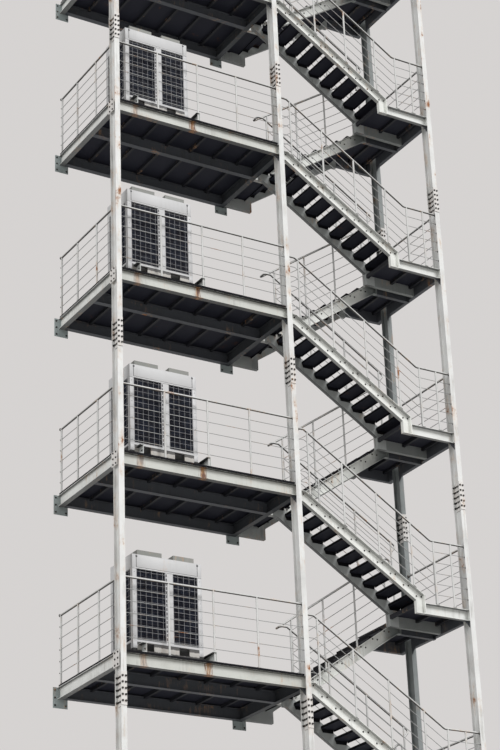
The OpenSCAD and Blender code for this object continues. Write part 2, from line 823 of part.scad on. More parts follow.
module flight_front_guards() {
    start = column_x[1] + column_web / 2;
    end = column_x[2] - column_web / 2;
    between = [[front_kink_high, rail_top_h], [front_kink_low, landing_rail_top]];
    color(galvanised) each_platform() {
        guard_bars(start, rail_top_h, end, landing_rail_top, between, guard_y,
            takes_left($level + rail_top_h), takes_right($level + landing_rail_top));
        for (x = [front_nose + post_edge / 2 : flight_post_pitch : knee_x - foot_plate_w])
            post(x, guard_y, front_nosing(x) - nosing_rise, front_nosing(x) + front_rail_h, -front_slope);
        for (x = [front_kink_low + bend_edge, (front_kink_low + end) / 2 + bend_edge])
            post(x, guard_y, -landing_drop, landing_rail_top, 0);
    }
}

// The well's two rails meet in a turn at the head of each flight
turn_x = platform_end + turn_out;
turn_z = well_rail_h - turn_drop;

module flight_inner_guards() {
    function over(x) = [x, front_nosing(x) + well_rail_h];
    first = front_nose + post_edge;
    last = knee_x - foot_plate_w / 2;
    low = front_last_nose + post_edge / 2;
    head = [turn_x, turn_z];
    line = [head, [front_nosing_x(turn_z - well_rail_h), turn_z], over(low), over(last) - [0, rail_return]];
    color(galvanised) each_platform() {
        rail(line, inner_guard_y);
        rods_under([over(first), over(last)], inner_guard_y);
        for (x = [first : (last - first) / 3 : last + 1])
            post(x, inner_guard_y, front_nosing(x) - nosing_rise, over(x).y, -front_slope);
        translate([turn_x, inner_guard_y, turn_z]) sphere(d = rail_dia, $fn = 24);
        if ($level < top_z) translate([turn_x, inner_guard_y, turn_z]) rotate([-90, 0, 0])
            cylinder(h = back_guard_y - inner_guard_y - rail_dia / 2, d = rail_dia, $fn = 12);
    }
}

module flight_back_guards() {
    function over(x) = [x, back_nosing(x) + well_rail_h];
    first = back_nose - bend_edge;
    last = landing_nose - 2 * bend_edge;
    high = over(landing_nose - bend_edge);
    end = [landing_nose + post_edge, high.y];
    head = [turn_x - rail_dia / 2, turn_z];
    line = [head, [back_nosing_x(turn_z - well_rail_h), turn_z], high, end, end - [0, rail_return]];
    color(galvanised) for (i = [0 : storeys - 1]) translate([0, 0, i * storey_h]) {
        rail(line, back_guard_y);
        rods_under([over(first), over(last)], back_guard_y);
        for (x = [first : (last - first) / 3 : last + 1])
            post(x, back_guard_y, back_nosing(x) - nosing_rise, over(x).y, back_slope);
    }
}

module landing_side_guards() {
    start = column_d / 2;
    end = rear_column_y - column_d / 2;
    color(galvanised) each_landing() translate([column_x[2], 0, 0]) rotate([0, 0, 90]) {
        takes = takes_right($level + landing_rail_h);
        guard_bars(start, landing_rail_h, end, landing_rail_h, [], 0, takes, takes);
        post((start + end) / 2, 0, 0, landing_rail_h, 0);
    }
}

module top_end_guard() {
    start = inner_y + channel_w / 2;
    end = deck_rear - end_guard_in;
    line = [[start, rail_h], [end, rail_h]];
    color(galvanised) translate([bay_left, 0, top_z]) rotate([0, 0, 90]) {
        rail(line, 0);
        rods_under(line, 0);
        for (y = [start + post_edge, (start + end) / 2, end - post_edge]) post(y, 0, 0, rail_h, 0);
    }
}

// Condensing units

module each_unit() {
    each_platform() translate([unit_x, unit_y, stand_h + pad_h]) children();
}

coil_right_w = unit_w - 2 * unit_post - unit_stile - coil_left_w;
coil_h = unit_h - unit_base - unit_band;

// Left edge and width of each coil of the front
coils = [[unit_post, coil_left_w], [unit_w - unit_post - coil_right_w, coil_right_w]];

module condenser_cabinets() {
    color(unit_white) each_unit() difference() {
        union() {
            cube([unit_w, unit_d, unit_h]);
            for (x = [0, unit_w - unit_post], y = [0, unit_d - unit_post])
                translate([x, y, -stand_h]) cube([unit_post, unit_post, stand_h]);
        }
        for (coil = coils) translate([coil.x, -cut, unit_base]) cube([coil.y, coil_sink + cut, coil_h]);
        translate([-cut, unit_post, unit_base]) cube([coil_sink + cut, unit_d - 2 * unit_post, coil_h]);
    }
}

// Box round a fan's opening, over each of the two coils
module condenser_fan_hoods() {
    depth = unit_d - 2 * hood_in;
    color(galvanised) each_unit() for (coil = coils) translate([coil.x + hood_in, hood_in, unit_h]) {
        width = coil.y - 2 * hood_in;
        difference() {
            cube([width, depth, hood_h]);
            translate([hood_rim, hood_rim, -cut])
                cube([width - 2 * hood_rim, depth - 2 * hood_rim, hood_h + 2 * cut]);
        }
    }
}

// Frame over each of the two coils, with a bar up its middle and two across
module condenser_fan_guards() {
    w = unit_frame_w;
    pane_h = (coil_h - 4 * w) / 3;
    color(galvanised) each_unit() for (coil = coils) translate([coil.x, w / 2, unit_base])
        rotate([90, 0, 0]) linear_extrude(w / 2) difference() {
            pane_w = (coil.y - 3 * w) / 2;
            square([coil.y, coil_h]);
            for (i = [0, 1], j = [0 : 2])
                translate([w + i * (pane_w + w), w + j * (pane_h + w)]) square([pane_w, pane_h]);
        }
}

// Left edge and width of each slot of the channels
slots = [[slot_left_x, slot_left_w], [slot_right_x, slot_right_w]];

// Channel between the two front legs, open to the inside
module stand_channel() {
    length = unit_w - 2 * unit_post;
    difference() {
        translate([unit_post, 0, -stand_h]) cube([length, stand_w, stand_h]);
        translate([unit_post - cut, stand_t, stand_t - stand_h]) cube([length + 2 * cut, stand_w, stand_h - 2 * stand_t]);
        for (slot = slots)
            translate([slot.x, -cut, -slot_drop - slot_h]) cube([slot.y, stand_t + 2 * cut, slot_h]);
    }
}

module condenser_rails() {
    color(galvanised) each_unit() {
        stand_channel();
        translate([0, unit_d, 0]) mirror([0, 1, 0]) stand_channel();
    }
}

module condenser_pads() {
    half = (unit_post - pad_side) / 2;
    color(rubber) each_unit() for (x = [0, unit_w - unit_post], y = [0, unit_d - unit_post])
        translate([x + half, y + half, -stand_h - pad_h]) cube([pad_side, pad_side, pad_h]);
}

column_front_left();
column_front_middle();
column_front_right();
column_rear_right();
base_plates();
cap_plates();
splice_plates();
platform_front_beams();
platform_middle_beams();
platform_rear_beams();
platform_side_beams();
platform_cross_beams();
platform_ribs();
platform_decks();
side_gussets();
seat_gussets();
wall_plates();
front_outer_stringers();
front_inner_stringers();
back_well_stringers();
back_wall_stringers();
stringer_base_plates();
front_treads();
back_treads();
foot_decks();
landing_front_beams();
landing_inner_beams();
landing_well_beams();
landing_wall_beams();
landing_cross_beams();
landing_ribs();
landing_decks();
platform_front_guards();
platform_left_guards();
flight_front_guards();
flight_inner_guards();
flight_back_guards();
landing_side_guards();
top_end_guard();
condenser_cabinets();
condenser_fan_hoods();
condenser_fan_guards();
condenser_rails();
condenser_pads();
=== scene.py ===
import math

import bmesh
import bpy
from mathutils import Matrix, Vector


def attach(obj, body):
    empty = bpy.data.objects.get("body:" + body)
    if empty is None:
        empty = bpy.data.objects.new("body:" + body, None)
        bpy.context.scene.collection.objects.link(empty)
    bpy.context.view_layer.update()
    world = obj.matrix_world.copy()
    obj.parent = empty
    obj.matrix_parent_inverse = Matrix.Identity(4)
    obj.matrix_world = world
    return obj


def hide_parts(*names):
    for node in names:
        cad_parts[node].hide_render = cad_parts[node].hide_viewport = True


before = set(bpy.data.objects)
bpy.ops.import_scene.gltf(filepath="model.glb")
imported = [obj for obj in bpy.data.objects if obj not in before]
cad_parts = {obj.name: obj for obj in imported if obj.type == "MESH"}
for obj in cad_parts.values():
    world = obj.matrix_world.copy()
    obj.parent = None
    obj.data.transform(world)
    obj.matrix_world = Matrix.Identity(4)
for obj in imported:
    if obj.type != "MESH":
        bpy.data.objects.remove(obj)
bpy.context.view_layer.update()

# The eye: the photograph is taken from about thirty metres off the tower's left corner, with a long
# lens tipped up. It shows only upper storeys, and the storeys under them are a guess, so the eye comes
# out below the tower's ground level.
yaw, tip, roll = math.radians(31.702), math.radians(25.011), -0.0410
stand_at = (-14.1808, -27.1552, -6.1895)
focal_pixels, picture_width, film_width = 2022.999, 500, 36.0
ahead = Vector((math.sin(yaw) * math.cos(tip), math.cos(yaw) * math.cos(tip), math.sin(tip)))
right = Vector((math.cos(yaw), -math.sin(yaw), 0.0))
up = right.cross(ahead)
across = right * math.cos(roll) + up * math.sin(roll)
over = up * math.cos(roll) - right * math.sin(roll)
lens = bpy.data.cameras.new("eye")
lens.sensor_fit = "HORIZONTAL"
lens.sensor_width = film_width
lens.lens = focal_pixels * film_width / picture_width
lens.clip_end = 300.0
eye = bpy.data.objects.new("eye", lens)
eye.matrix_world = (Matrix.Translation(stand_at)
                    @ Matrix((across, over, -ahead)).transposed().to_4x4())
bpy.context.scene.collection.objects.link(eye)
bpy.context.scene.camera = eye
bpy.context.scene.view_settings.view_transform = "Standard"


# The ground is a plain pale floor, poured level. It shows only from above, so that the eye below it
# sees the tower, and it keeps the tower's shadow. The finish class makes every later material too.
class Value:
    """A number or vector that a finish works out at each point of a surface."""

    def __init__(self, finish, output):
        self.finish, self.output = finish, output

    def maths(self, operation, first, second=0.0):
        return self.finish.node("Math", {"operation": operation}, {0: first, 1: second})

    def __add__(self, other):
        return self.maths("ADD", self, other)

    def __radd__(self, other):
        return self.maths("ADD", other, self)

    def __sub__(self, other):
        return self.maths("SUBTRACT", self, other)

    def __rsub__(self, other):
        return self.maths("SUBTRACT", other, self)

    def __mul__(self, other):
        return self.maths("MULTIPLY", self, other)

    def __rmul__(self, other):
        return self.maths("MULTIPLY", other, self)

    def __truediv__(self, other):
        return self.maths("DIVIDE", self, other)

    def __rtruediv__(self, other):
        return self.maths("DIVIDE", other, self)

    def __neg__(self):
        return self.maths("MULTIPLY", self, -1.0)

    def __abs__(self):
        return self.maths("ABSOLUTE", self)

    def __mod__(self, other):
        return self.maths("FLOORED_MODULO", self, other)

    def least(self, other):
        return self.maths("MINIMUM", self, other)

    def most(self, other):
        return self.maths("MAXIMUM", self, other)

    def rising(self, low, high):
        """0 below low, 1 above high, and smooth between them."""
        return self.finish.node("MapRange", {"interpolation_type": "SMOOTHSTEP", "clamp": True},
                                {"Value": self, "From Min": low, "From Max": high})


class Finish:
    """One material or world, whose nodes are added by node() and joined by values."""

    def __init__(self, name, owner=None):
        self.owner = owner or bpy.data.materials.new(name)
        self.owner.use_nodes = True
        self.tree = self.owner.node_tree
        self.tree.nodes.clear()

    def node(self, kind, settings=None, sockets=None, result=0):
        made = self.tree.nodes.new("ShaderNode" + kind)
        for name, setting in (settings or {}).items():
            setattr(made, name, setting)
        for name, given in (sockets or {}).items():
            if isinstance(given, Value):
                self.tree.links.new(given.output, made.inputs[name])
            elif isinstance(given, tuple) and made.inputs[name].type == "RGBA":
                made.inputs[name].default_value = (*given, 1.0)
            else:
                made.inputs[name].default_value = given
        return Value(self, made.outputs[result] if made.outputs else None)

    def place(self):
        return self.node("TexCoord", result=3)

    def axes(self, vector):
        split = self.node("SeparateXYZ", {}, {0: vector})
        return [Value(self, output) for output in split.output.node.outputs]

    def upward(self):
        """1 on a face that looks up, and -1 on one that looks down."""
        return self.axes(self.node("NewGeometry", result=1))[2]

    def vector(self, x, y, z):
        return self.node("CombineXYZ", {}, {0: x, 1: y, 2: z})

    def noise(self, vector, scale, detail=3.0, rough=0.5):
        return self.node("TexNoise", {}, {"Vector": vector, "Scale": scale, "Detail": detail,
                                          "Roughness": rough})

    def mix(self, amount, first, second):
        return self.node("Mix", {"data_type": "RGBA"}, {0: amount, 6: first, 7: second}, 2)

    def bump(self, height, distance, strength=1.0):
        return self.node("Bump", {}, {"Height": height, "Distance": distance, "Strength": strength})

    def surface(self, shader):
        out = "OutputWorld" if isinstance(self.owner, bpy.types.World) else "OutputMaterial"
        self.node(out, {}, {"Surface": shader})
        return self.owner


ground = Finish("ground")
from_below = ground.node("NewGeometry", result=6)
concrete = ground.node("BsdfDiffuse", {}, {"Color": (0.72, 0.71, 0.69)})
clear = ground.node("BsdfTransparent")
floor_mesh = bpy.data.meshes.new("floor")
shape = bmesh.new()
bmesh.ops.create_grid(shape, x_segments=1, y_segments=1, size=70.0,
                      matrix=Matrix.Translation((3.4, 1.0, 0.0)))
shape.to_mesh(floor_mesh)
shape.free()
floor_mesh.materials.append(ground.surface(
    ground.node("MixShader", {}, {0: from_below, 1: concrete, 2: clear})))
floor = bpy.data.objects.new("floor", floor_mesh)
bpy.context.scene.collection.objects.link(floor)

# The daylight is even and soft: a large lamp from the front and high up, a weaker one from the left,
# and a dim sky. What the eye sees behind the tower is the sky's plain pale colour.
for name, travel, strength, spread in (("front_light", (-0.18, 0.74, -0.66), 2.45, 0.5),
                                       ("left_light", (0.86, 0.28, -0.45), 1.35, 0.6)):
    lamp = bpy.data.lights.new(name, "SUN")
    lamp.energy, lamp.angle = strength, spread
    holder = bpy.data.objects.new(name, lamp)
    holder.matrix_world = Vector(travel).to_track_quat("-Z", "Y").to_matrix().to_4x4()
    bpy.context.scene.collection.objects.link(holder)
sky_world = bpy.data.worlds.new("sky")
bpy.context.scene.world = sky_world
sky = Finish("sky", sky_world)
path = sky.node("LightPath").output.node.outputs
shown = Value(sky, path["Is Camera Ray"]).most(Value(sky, path["Is Glossy Ray"])).most(
    Value(sky, path["Is Transmission Ray"]))
sky.surface(sky.node("MixShader", {}, {
    0: shown,
    1: sky.node("Background", {}, {"Color": (1.0, 1.0, 1.0), "Strength": 0.30}),
    2: sky.node("Background", {}, {"Color": (0.67, 0.65, 0.64), "Strength": 1.0})}))


# The four columns are rolled H sections, painted warm white on site, now chalky and streaked with
# grime. Rust has come through in patches at the joints and runs down from them.
storey = 3.4
rust_stain, rust_old, rust_fresh = (0.50, 0.31, 0.17), (0.16, 0.055, 0.022), (0.36, 0.15, 0.055)
drip_old, drip_fresh = (0.10, 0.035, 0.018), (0.40, 0.20, 0.065)
landing_shade_grey, band_black = (0.10, 0.115, 0.115), (0.020, 0.019, 0.020)
nowhere = 100.0


def weathered(name, colour, grime, rust, underside_shade=0.0, dust=(0.30, 0.29, 0.27), bleeds=(), shade_and_foot_bands=(),
              shine=0.5, shade=(0.075, 0.078, 0.080), landing_shade_from=nowhere, under_from=0.3):
    """Paint with grime and rust. Faces that look down more than under_from are darkened towards the
    shade colour by the given share, as painted shade. Bleeds are rusty drips at places along X:
    middle, half width and strength. Given bands of height over each platform are painted black, as
    painted shade under a lip or a cabinet and as a dark band along a foot. Past a given X it turns
    grey, as painted shade under the landing."""
    finish = Finish(name)
    at = finish.place()
    x, y, z = finish.axes(at)
    broad = finish.noise(at, 1.7, 5.0, 0.6)
    washed = finish.noise(at, 1.1, 3.0, 0.5)
    streaks = finish.noise(finish.vector(x, y, z * 0.08), 19.0, 5.0, 0.65)
    specks = finish.noise(at, 120.0, 3.0, 0.6)
    patches = finish.noise(at, 2.3, 7.0, 0.66)
    runs = finish.noise(finish.vector(x, y, z * 0.12), 17.0, 5.0, 0.7)
    lines = (streaks - 0.48).most(0.0) * washed.rising(0.46, 0.62)
    dirt = ((broad - 0.4) * 1.2 + lines * 2.2 + (specks - 0.5) * 0.2).rising(0.0, 0.6) * grime
    broken = patches + (runs - 0.5) * 0.35 + (specks - 0.5) * 0.12
    sore = broken.rising(0.70 - 0.1 * rust, 0.76 - 0.08 * rust)
    stain = (patches * 0.7 + runs * 0.5).rising(0.68 - 0.1 * rust, 0.86 - 0.08 * rust) * 0.55
    # Painted shade: faces that look down are darkened towards the shade colour.
    under = (-finish.upward()).rising(under_from, under_from + 0.5)
    skin = finish.mix(dirt, colour, dust)
    skin = finish.mix(under * underside_shade, skin, shade)
    skin = finish.mix(stain, skin, rust_stain)
    # Past a given X the paint is darkened grey: painted shade under the landing.
    landing_shade = (x + (broad - 0.5) * 0.3).rising(landing_shade_from, landing_shade_from + 0.3) * 0.85
    skin = finish.mix(landing_shade, skin, landing_shade_grey)
    for middle, half, strength in bleeds:
        near = (1.0 - abs(x - middle) / half).most(0.0)
        fine = finish.noise(finish.vector(x, y, z * 0.1), 48.0, 4.0, 0.6)
        drips = (near * 0.8 + (fine - 0.5) * 2.2 + (runs - 0.5)).rising(0.1, 0.7)
        drip_colour = finish.mix(fine.rising(0.42, 0.58), drip_fresh, drip_old)
        skin = finish.mix(drips * near.rising(0.0, 0.4) * strength, skin, drip_colour)
    rusty = finish.mix(specks.rising(0.35, 0.65), rust_old, rust_fresh)
    skin = finish.mix(sore, skin, rusty)
    level = z % storey
    # Each listed band is painted black: under the front beam's lip and under the cabinet it is painted
    # shade.
    for low, high, strength in shade_and_foot_bands:
        ragged = (runs - 0.5) * 0.05
        band = (level - low + ragged).rising(-0.008, 0.008)
        band = band * (high - level + ragged).rising(-0.008, 0.008)
        skin = finish.mix(band * strength, skin, band_black)
    relief = specks * 0.25 + streaks * 0.15 + sore * 0.8
    return finish.surface(finish.node("BsdfPrincipled", {}, {
        "Base Color": skin, "Roughness": (broad * 0.25 + 0.42 + sore * 0.35).least(0.95),
        "Specular IOR Level": shine, "Normal": finish.bump(relief, 0.0012, 0.6)}))


def dress(material, *nodes):
    """Paints CAD nodes with a material."""
    for node in nodes:
        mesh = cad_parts[node].data
        mesh.materials.clear()
        mesh.materials.append(material)


left_x, middle_x, right_x, rear_column_y = 0.0, 3.42, 6.92, 1.81
columns = [(left_x, 0.0), (middle_x, 0.0), (right_x, 0.0), (right_x, rear_column_y)]
column_paint = weathered("column_paint", (0.69, 0.695, 0.685), 0.55, 0.95)
dress(column_paint, "column_front_left", "column_front_middle", "column_front_right", "base_plates",
      "cap_plates")
# The splice plates' lower edges are darkened as painted shade.
splice_paint = weathered("splice_paint", (0.67, 0.65, 0.63), 0.5, 0.6, 1.0, (0.38, 0.34, 0.30),
                         shade=(0.030, 0.026, 0.024))
dress(splice_paint, "splice_plates")
# The rear column is painted dark grey: painted shade, as it stands in shade under the landings.
rear_column_shade_paint = weathered("rear_column_shade_paint", (0.23, 0.25, 0.25), 0.7, 0.3, 0.0,
                              (0.12, 0.13, 0.13))
dress(rear_column_shade_paint, "column_rear_right")


# Each column is spliced about every six metres with plates on flanges and web, through rows of black
# bolts. Their hexagon heads stand on washers, and the nuts behind the flanges are the same size.
def hexagon_head(across_flats, height, washer):
    """Chamfered head on its washer, standing on the origin along +Z."""
    head = bmesh.new()
    washer_t = 0.003
    bmesh.ops.create_cone(head, cap_ends=True, segments=10, radius1=washer, radius2=washer,
                          depth=washer_t, matrix=Matrix.Translation((0.0, 0.0, washer_t / 2)))
    corner = across_flats / math.sqrt(3)
    middle = Matrix.Translation((0.0, 0.0, washer_t + height / 2))
    hexagon = bmesh.ops.create_cone(head, cap_ends=True, segments=6, radius1=corner, radius2=corner,
                                    depth=height, matrix=middle)["verts"]
    crown = [v for v in hexagon if v.co.z > washer_t + height * 0.9]
    rim = [e for e in head.edges if e.verts[0] in crown and e.verts[1] in crown]
    bmesh.ops.bevel(head, geom=rim, offset=across_flats * 0.07, segments=1, profile=0.5,
                    affect="EDGES", material=-1)
    return head


def towards(place, axis):
    """Turns a shape that stands on +Z towards the axis, at a place."""
    return Matrix.Translation(place) @ Vector(axis).to_track_quat("Z", "Y").to_matrix().to_4x4()


def copies(shape, places):
    """The shape at every place, as one bmesh."""
    one = bpy.data.meshes.new("one")
    shape.to_mesh(one)
    shape.free()
    many = bmesh.new()
    for place in places:
        moved = one.copy()
        moved.transform(place)
        many.from_mesh(moved)
        bpy.data.meshes.remove(moved)
    bpy.data.meshes.remove(one)
    return many


def piece(name, shape, material, slot, *stands_for):
    """One visible piece on the tower's body, in place of the CAD nodes that it stands for."""
    bmesh.ops.recalc_face_normals(shape, faces=shape.faces)
    mesh = bpy.data.meshes.new(name)
    shape.to_mesh(mesh)
    shape.free()
    mesh.polygons.foreach_set("use_smooth", [True] * len(mesh.polygons))
    mesh.set_sharp_from_angle(angle=math.radians(35))
    mesh.materials.append(material)
    made = bpy.data.objects.new(name, mesh)
    bpy.context.scene.collection.objects.link(made)
    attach(made, "root")
    if stands_for:
        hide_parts(*stands_for)
    return made


bolt_steel = weathered("bolt_steel", (0.024, 0.022, 0.021), 0.3, 0.5, 0.0, (0.07, 0.06, 0.05),
                       shine=0.3)
half_depth, flange_t, half_web, splice_t = 0.100, 0.008, 0.003, 0.009
bolt_pitch, flange_gauge, web_gauge = 0.1, 0.028, 0.05
left_splices = [2.76, 8.94, 15.12]
right_splices = [1.0, 7.15, 13.3, 19.45]
splices_of = (left_splices, left_splices, right_splices, right_splices)
heads = []
for (x, y), levels in zip(columns, splices_of):
    for level in levels:
        for row in range(5):
            z = level + (row - 2) * bolt_pitch
            for side in (-1, 1):
                for shift in (-flange_gauge, flange_gauge):
                    for reach, way in ((half_depth + splice_t, 1), (half_depth - flange_t, -1)):
                        heads.append(towards((x + shift, y + side * reach, z),
                                             (0.0, side * way, 0.0)))
                for shift in (-web_gauge, 0.0, web_gauge):
                    heads.append(towards((x + side * (half_web + splice_t), y + shift, z),
                                         (side, 0.0, 0.0)))
piece("splice_bolts", copies(hexagon_head(0.030, 0.013, 0.0185), heads), bolt_steel, "paint")

# Each base plate is held by four anchor bolts that stand out of the footing, with nuts and wide
# washers. A weld bead runs round the foot of the column.
base_t, anchor_x, anchor_y, stud_r, stud_h = 0.022, 0.1, 0.15, 0.012, 0.045


def anchor():
    shape = hexagon_head(0.036, 0.019, 0.030)
    stud = bmesh.ops.create_cone(shape, cap_ends=True, segments=12, radius1=stud_r, radius2=stud_r,
                                 depth=stud_h,
                                 matrix=Matrix.Translation((0.0, 0.0, stud_h / 2)))["verts"]
    end = [v for v in stud if v.co.z > stud_h * 0.9]
    rim = [e for e in shape.edges if e.verts[0] in end and e.verts[1] in end]
    bmesh.ops.bevel(shape, geom=rim, offset=0.002, segments=1, profile=0.5, affect="EDGES",
                    material=-1)
    return shape


piece("anchor_nuts", copies(anchor(), [
    Matrix.Translation((x + sx * anchor_x, y + sy * anchor_y, base_t))
    for x, y in columns for sx in (-1, 1) for sy in (-1, 1)]), bolt_steel, "paint")


def tube(shape, line, radius, bend=0.0, sides=12):
    """Sweeps a ring along a line of points, with a round bend at each corner, and closes its ends."""
    points = [Vector(point) for point in line]
    way = (points[1] - points[0]).normalized()
    ring = bmesh.ops.create_circle(shape, cap_ends=True, segments=sides, radius=radius,
                                   matrix=towards(points[0], way))["verts"]
    edges = list({edge for v in ring for edge in v.link_edges})

    def run_on(edges, travel):
        made = bmesh.ops.extrude_edge_only(shape, edges=edges)["geom"]
        new = [v for v in made if isinstance(v, bmesh.types.BMVert)]
        bmesh.ops.translate(shape, verts=new, vec=travel)
        return [e for e in made if isinstance(e, bmesh.types.BMEdge)
                and e.verts[0] in new and e.verts[1] in new]

    here = points[0]
    for before, corner, after in zip(points, points[1:], points[2:]):
        come, go = (corner - before).normalized(), (after - corner).normalized()
        angle = come.angle(go)
        cut = bend * math.tan(angle / 2)
        edges = run_on(edges, corner - come * cut - here)
        axis = come.cross(go).normalized()
        turned = bmesh.ops.spin(shape, geom=edges, cent=corner - come * cut + axis.cross(come) * bend,
                                axis=axis, angle=angle, steps=max(3, round(math.degrees(angle) / 15)),
                                use_duplicate=False)
        edges = [e for e in turned["geom_last"] if isinstance(e, bmesh.types.BMEdge)]
        here = corner + go * cut
    edges = run_on(edges, points[-1] - here)
    bmesh.ops.contextual_create(shape, geom=edges)


bead_r, bead_z, flange_bead_x, web_bead_x, bead_out, bead_in = 0.005, 0.024, 0.053, 0.005, 0.102, 0.090
beads = bmesh.new()
for x, y in columns:
    left, right_side = x - flange_bead_x, x + flange_bead_x
    for sy in (-1, 1):
        outer, inner = y + sy * bead_out, y + sy * bead_in
        tube(beads, [(left, inner, bead_z), (left, outer, bead_z), (right_side, outer, bead_z),
                     (right_side, inner, bead_z)], bead_r, 0.004, 8)
    for sx in (-1, 1):
        web = x + sx * web_bead_x
        tube(beads, [(web, y - bead_in, bead_z), (web, y + bead_in, bead_z)], bead_r, 0.0, 8)
piece("foot_welds", beads, column_paint, "paint")

# The platforms' front and side beams are rolled I sections in the same white. Drips from the
# condensing unit's two ends have rusted the front beam's face. Their undersides are darkened as
# painted shade, and the black band under the deck's lip on the front beam is a painted shadow.
front_beam_paint = weathered("front_beam_paint", (0.54, 0.55, 0.515), 0.5, 0.5, 0.9,
                             bleeds=((0.40, 0.11, 0.6), (1.58, 0.11, 1.0)),
                             shade_and_foot_bands=((3.364, 3.40, 0.8),), shade=(0.02, 0.021, 0.024))
dress(front_beam_paint, "platform_front_beams")
beam_paint = weathered("beam_paint", (0.71, 0.72, 0.70), 0.5, 0.5, 0.9)
dress(beam_paint, "platform_side_beams", "landing_front_beams", "stringer_base_plates")
gusset_paint = weathered("gusset_paint", (0.67, 0.65, 0.63), 0.4, 0.6)
dress(gusset_paint, "side_gussets")

# Between them the middle, rear and cross beams and the angle ribs under the deck are painted nearly
# black: partly their own dark paint and partly painted shade, as they lie in shade under the decks.
soffit_paint = weathered("soffit_paint", (0.072, 0.077, 0.088), 0.6, 0.25, 0.0, (0.055, 0.057, 0.06),
                         shine=0.2)
dress(soffit_paint, "platform_middle_beams", "platform_rear_beams", "seat_gussets",
      "landing_well_beams", "landing_wall_beams", "landing_cross_beams")
# The cross beams are painted darker still: painted shade, as they stand in shade.
cross_beam_shade_paint = weathered("cross_beam_shade_paint", (0.046, 0.050, 0.056), 0.6, 0.25, 0.0, (0.035, 0.037, 0.04),
                        shine=0.2)
dress(cross_beam_shade_paint, "platform_cross_beams")
# The landing's inner beams are painted mid grey: painted shade.
inner_beam_shade_paint = weathered("inner_beam_shade_paint", (0.20, 0.212, 0.208), 0.6, 0.3, 0.0, (0.10, 0.105, 0.105),
                        shine=0.3)
dress(inner_beam_shade_paint, "landing_inner_beams")
rib_paint = weathered("rib_paint", (0.020, 0.021, 0.026), 0.5, 0.2, 0.0, (0.02, 0.02, 0.02),
                      shine=0.15)
dress(rib_paint, "platform_ribs", "landing_ribs")

# A gusset outside the left column carries the corner of each platform on six bolts. The beams end on
# plates against the wall, in a dull blue-grey that is partly painted shade, with an anchor bolt in
# each corner and a bolt on each side of the beam.
plate_blue = weathered("plate_blue", (0.30, 0.345, 0.345), 0.7, 0.4, 0.0, (0.13, 0.14, 0.14))
dress(plate_blue, "wall_plates")
gusset_face, wall_y, wall_plate_t, wall_gauge = -0.060, 2.17, 0.012, 0.0975
storeys = range(1, 7)
heads = []
for k in storeys:
    for y in (-0.02, 0.08):
        for z in (-0.24, -0.14, -0.04):
            heads.append(towards((gusset_face, y, k * storey + z), (-1.0, 0.0, 0.0)))
    for x in (left_x, middle_x):
        for side in (-wall_gauge, wall_gauge):
            for z in (-0.335, -0.205, -0.075):
                heads.append(towards((x + side, wall_y - wall_plate_t, k * storey + z),
                                     (0.0, -1.0, 0.0)))
piece("gusset_and_wall_bolts", copies(hexagon_head(0.026, 0.011, 0.017), heads), bolt_steel, "paint")

# Decks, landings and treads are folded steel plate with a raised diamond pattern, painted dark grey.
# Their tops are dusty and worn to steel where people step. Their undersides are darker than the tops,
# partly dark paint and partly painted shade, and their edges are near black.
def chequered(name):
    finish = Finish(name)
    at = finish.place()
    x, y = finish.axes(at)[:2]
    pitch = 0.032
    broad = finish.noise(at, 2.1, 5.0, 0.6)
    specks = finish.noise(at, 90.0, 4.0, 0.6)
    lozenges = 0.0
    for shift, turn in ((0.0, 1.0), (0.5, -1.0)):
        u = (x / pitch + shift) % 1.0 - 0.5
        v = (y / pitch + shift) % 1.0 - 0.5
        along = (u + v * turn) * 0.7071
        aside = (u - v * turn) * 0.7071
        lozenge = 1.0 - (along * along * 11.0 + aside * aside * 130.0)
        lozenges = lozenge.most(lozenges)
    upward = finish.upward()
    top = upward.rising(0.5, 0.9)
    raised = lozenges.rising(0.0, 0.5) * top
    dusty = (broad + (specks - 0.5) * 0.3).rising(0.4, 0.7) * top
    # Edges near black, and undersides darker than tops: partly painted shade.
    skin = finish.mix((-upward).rising(0.5, 0.9), (0.006, 0.006, 0.008), (0.021, 0.022, 0.032))
    skin = finish.mix(top, skin, (0.050, 0.053, 0.060))
    skin = finish.mix(dusty * 0.7, skin, (0.20, 0.19, 0.175))
    skin = finish.mix(raised * specks.rising(0.35, 0.6) * 0.5, skin, (0.30, 0.29, 0.28))
    sore = (finish.noise(at, 3.1, 6.0, 0.65) + (specks - 0.5) * 0.15).rising(0.64, 0.70)
    skin = finish.mix(sore * (top * 0.6 + 0.2), skin, (0.20, 0.085, 0.035))
    return finish.surface(finish.node("BsdfPrincipled", {}, {
        "Base Color": skin, "Roughness": broad * 0.2 + 0.55 + sore * 0.2, "Specular IOR Level": 0.1,
        "Normal": finish.bump(raised + specks * 0.08, 0.0016, 0.8)}))


plate_paint = chequered("plate_paint")
dress(plate_paint, "platform_decks", "front_treads", "back_treads", "foot_decks", "landing_decks")

# The stringers are channels, cut and welded into the line of each flight. Two bolts through the web
# hold each tread's end plate.
# Undersides of the stringers are darkened as painted shade.
stringer_paint = weathered("stringer_paint", (0.73, 0.74, 0.71), 0.55, 0.5, 0.6)
dress(stringer_paint, "front_outer_stringers")
well_paint = weathered("well_paint", (0.70, 0.71, 0.68), 0.55, 0.5, 0.6, landing_shade_from=5.68)
dress(well_paint, "back_well_stringers")
